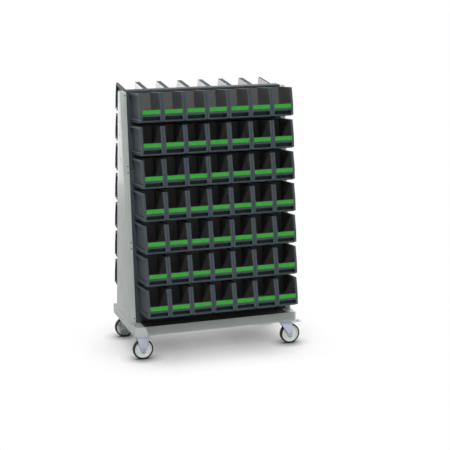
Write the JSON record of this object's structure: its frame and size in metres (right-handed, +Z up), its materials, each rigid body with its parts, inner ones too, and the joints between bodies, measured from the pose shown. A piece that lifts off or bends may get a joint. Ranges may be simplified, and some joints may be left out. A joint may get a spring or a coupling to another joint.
{
  "type": "mobile bin cart",
  "caption": "Double-sided mobile bin cart: an A-shaped steel frame on casters, with open storage bins hooked on louvre panels on both sloping faces.",
  "frame": {"origin": "on the floor, at half the depth, midway between the fixed wheels' axles and the axles of the swivel wheels as they trail in the picture", "axes": "+X along the cart towards the braked swivel casters, +Y towards the rear face, +Z up; the picture's front face looks along -Y"},
  "size_m": [1.0815, 0.8316, 1.6104],
  "materials": {
    "light_grey_paint": "fine satin powder coat",
    "anthracite_deck": "matt powder coat",
    "anthracite_paint": "satin powder coat",
    "anthracite_plastic": "moulded, lightly textured",
    "green_label": "smooth label strip",
    "zinc_plated_steel": "bright zinc plate",
    "bright_steel": "bolt steel",
    "pale_polyamide": "moulded, slightly glossy",
    "black_rubber": "solid rubber"
  },
  "bodies": {
    "cart": {"base_frame": "light_grey_paint", "deck": "anthracite_deck", "left_end_panel": "light_grey_paint", "right_end_panel": "light_grey_paint", "ridge_cover": "anthracite_paint", "front_louvre_panel_1": "anthracite_paint", "front_louvre_panel_2": "anthracite_paint", "front_louvre_panel_3": "anthracite_paint", "rear_louvre_panel_1": "anthracite_paint", "rear_louvre_panel_2": "anthracite_paint", "rear_louvre_panel_3": "anthracite_paint", "front_bin_row_2": "anthracite_plastic", "front_bin_row_3": "anthracite_plastic", "front_bin_row_4": "anthracite_plastic", "front_bin_row_5": "anthracite_plastic", "front_bin_row_6": "anthracite_plastic", "front_bin_row_7": "anthracite_plastic", "rear_bin_row_1": "anthracite_plastic", "rear_bin_row_2": "anthracite_plastic", "rear_bin_row_3": "anthracite_plastic", "rear_bin_row_4": "anthracite_plastic", "rear_bin_row_5": "anthracite_plastic", "rear_bin_row_6": "anthracite_plastic", "rear_bin_row_7": "anthracite_plastic", "front_fixed_fork": "zinc_plated_steel", "rear_fixed_fork": "zinc_plated_steel", "front_fixed_axle": "bright_steel", "rear_fixed_axle": "bright_steel", "front_swivel_plate": "zinc_plated_steel", "rear_swivel_plate": "zinc_plated_steel"},
    "front_fixed_wheel": {"front_fixed_wheel": "pale_polyamide", "front_fixed_tyre": "black_rubber"},
    "front_swivel_fork": {"front_swivel_fork": "zinc_plated_steel", "front_swivel_axle": "bright_steel"},
    "front_swivel_wheel": {"front_swivel_wheel": "pale_polyamide", "front_swivel_tyre": "black_rubber"},
    "front_brake_pedal": {"front_swivel_brake_pedal": "zinc_plated_steel"},
    "rear_fixed_wheel": {"rear_fixed_wheel": "pale_polyamide", "rear_fixed_tyre": "black_rubber"},
    "rear_swivel_fork": {"rear_swivel_fork": "zinc_plated_steel", "rear_swivel_axle": "bright_steel"},
    "rear_swivel_wheel": {"rear_swivel_wheel": "pale_polyamide", "rear_swivel_tyre": "black_rubber"},
    "rear_brake_pedal": {"rear_swivel_brake_pedal": "zinc_plated_steel"},
    "front_top_bin_1": {"front_top_bin_1": "anthracite_plastic", "front_top_label_1": "green_label"},
    "front_top_bin_2": {"front_top_bin_2": "anthracite_plastic", "front_top_label_2": "green_label"},
    "front_top_bin_3": {"front_top_bin_3": "anthracite_plastic", "front_top_label_3": "green_label"},
    "front_top_bin_4": {"front_top_bin_4": "anthracite_plastic", "front_top_label_4": "green_label"},
    "front_top_bin_5": {"front_top_bin_5": "anthracite_plastic", "front_top_label_5": "green_label"},
    "front_top_bin_6": {"front_top_bin_6": "anthracite_plastic", "front_top_label_6": "green_label"},
    "front_top_bin_7": {"front_top_bin_7": "anthracite_plastic", "front_top_label_7": "green_label"}
  },
  "joints": [
    {"name": "front_fixed_wheel_spin", "type": "hinge", "parent": "cart", "child": "front_fixed_wheel", "pos_m": [-0.474, -0.225, 0.0625], "axis": [0, 1, 0], "continuous": true},
    {"name": "front_caster_swivel", "type": "hinge", "parent": "cart", "child": "front_swivel_fork", "pos_m": [0.438, -0.225, 0.153], "axis": [0, 0, 1], "continuous": true},
    {"name": "front_swivel_wheel_spin", "type": "hinge", "parent": "front_swivel_fork", "child": "front_swivel_wheel", "pos_m": [0.474, -0.225, 0.0625], "axis": [0, 1, 0], "continuous": true},
    {"name": "front_brake_press", "type": "hinge", "parent": "front_swivel_fork", "child": "front_brake_pedal", "pos_m": [0.464, -0.225, 0.1295], "axis": [0, 1, 0], "range_deg": [0, 12]},
    {"name": "rear_fixed_wheel_spin", "type": "hinge", "parent": "cart", "child": "rear_fixed_wheel", "pos_m": [-0.474, 0.225, 0.0625], "axis": [0, 1, 0], "continuous": true},
    {"name": "rear_caster_swivel", "type": "hinge", "parent": "cart", "child": "rear_swivel_fork", "pos_m": [0.438, 0.225, 0.153], "axis": [0, 0, 1], "continuous": true},
    {"name": "rear_swivel_wheel_spin", "type": "hinge", "parent": "rear_swivel_fork", "child": "rear_swivel_wheel", "pos_m": [0.474, 0.225, 0.0625], "axis": [0, 1, 0], "continuous": true},
    {"name": "rear_brake_press", "type": "hinge", "parent": "rear_swivel_fork", "child": "rear_brake_pedal", "pos_m": [0.464, 0.225, 0.1295], "axis": [0, 1, 0], "range_deg": [0, 12]},
    {"name": "front_top_bin_1_lift", "type": "slide", "parent": "cart", "child": "front_top_bin_1", "axis": [0, 0.1001, 0.995], "range_m": [0, 0.012]},
    {"name": "front_top_bin_2_lift", "type": "slide", "parent": "cart", "child": "front_top_bin_2", "axis": [0, 0.1001, 0.995], "range_m": [0, 0.012]},
    {"name": "front_top_bin_3_lift", "type": "slide", "parent": "cart", "child": "front_top_bin_3", "axis": [0, 0.1001, 0.995], "range_m": [0, 0.012]},
    {"name": "front_top_bin_4_lift", "type": "slide", "parent": "cart", "child": "front_top_bin_4", "axis": [0, 0.1001, 0.995], "range_m": [0, 0.012]},
    {"name": "front_top_bin_5_lift", "type": "slide", "parent": "cart", "child": "front_top_bin_5", "axis": [0, 0.1001, 0.995], "range_m": [0, 0.012]},
    {"name": "front_top_bin_6_lift", "type": "slide", "parent": "cart", "child": "front_top_bin_6", "axis": [0, 0.1001, 0.995], "range_m": [0, 0.012]},
    {"name": "front_top_bin_7_lift", "type": "slide", "parent": "cart", "child": "front_top_bin_7", "axis": [0, 0.1001, 0.995], "range_m": [0, 0.012]}
  ]
}
